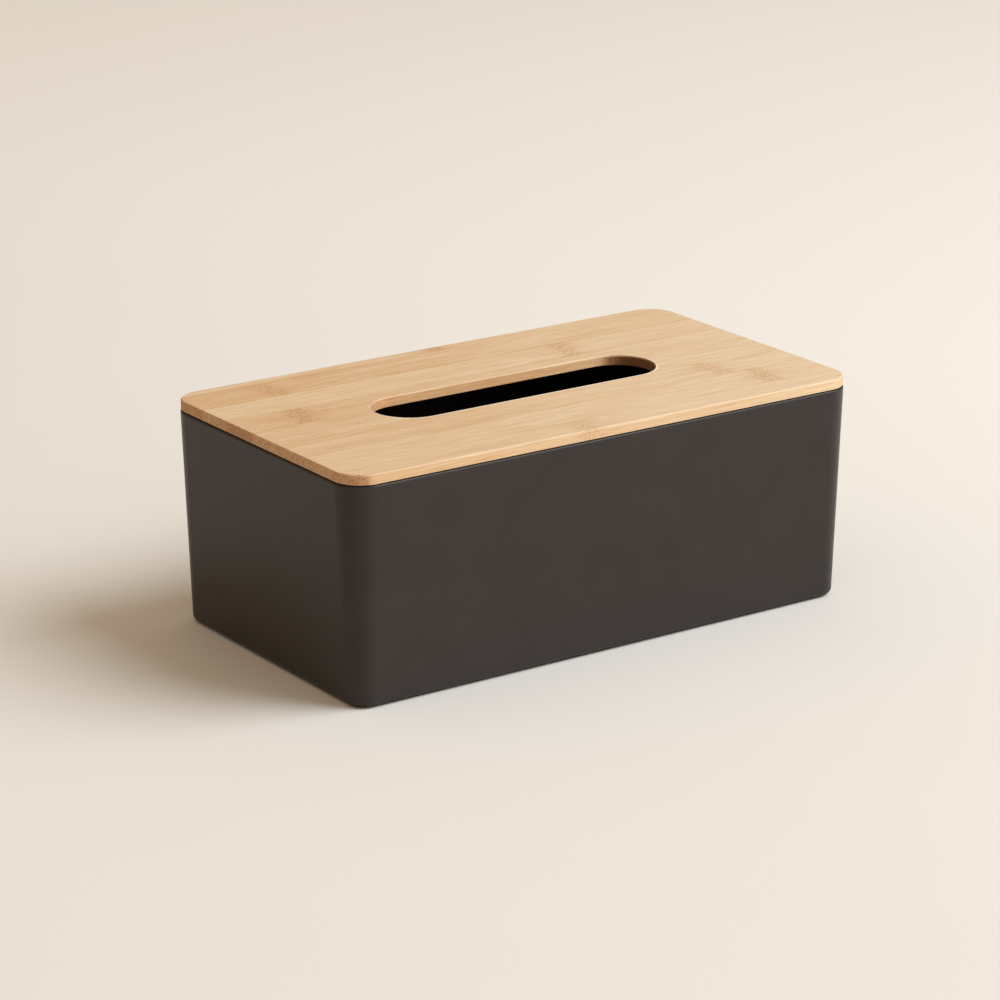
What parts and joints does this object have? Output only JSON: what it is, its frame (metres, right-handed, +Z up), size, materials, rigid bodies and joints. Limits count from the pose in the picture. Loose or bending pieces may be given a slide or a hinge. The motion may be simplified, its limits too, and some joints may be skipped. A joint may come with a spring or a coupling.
{
  "type": "tissue box with lift-off lid",
  "caption": "Table-top tissue box: a tapered moulded shell on foot pads, under a lift-off bamboo lid with a long rounded dispensing slot.",
  "frame": {"origin": "on the table, under the middle of the box, at the lowest points of the foot pads", "axes": "+X along the box's length, +Y across it from the front to the back, +Z up out of the slot"},
  "size_m": [0.26, 0.1434, 0.1005],
  "materials": {
    "charcoal_plastic": "fine satin moulded surface",
    "bamboo_lid": "sanded bamboo under a thin matt lacquer",
    "bamboo_cleat": "sanded bamboo, unlacquered",
    "pad_rubber": "soft matt",
    "zinc_screw": "bright zinc plated"
  },
  "bodies": {
    "body": {"body_shell": "charcoal_plastic", "foot_pad_back_left": "pad_rubber", "foot_pad_back_right": "pad_rubber", "foot_pad_front_left": "pad_rubber", "foot_pad_front_right": "pad_rubber"},
    "lid": {"lid_stave_1": "bamboo_lid", "lid_stave_2": "bamboo_lid", "lid_stave_3": "bamboo_lid", "lid_stave_4_left": "bamboo_lid", "lid_stave_4_right": "bamboo_lid", "lid_stave_5": "bamboo_lid", "lid_stave_6": "bamboo_lid", "lid_stave_7": "bamboo_lid", "lid_stave_8": "bamboo_lid", "lid_cleat_left": "bamboo_cleat", "lid_cleat_right": "bamboo_cleat", "cleat_screws": "zinc_screw"}
  },
  "joints": [
    {"name": "lid_lift", "type": "slide", "parent": "body", "child": "lid", "axis": [0, 0, 1], "range_m": [0, 0.06]}
  ]
}
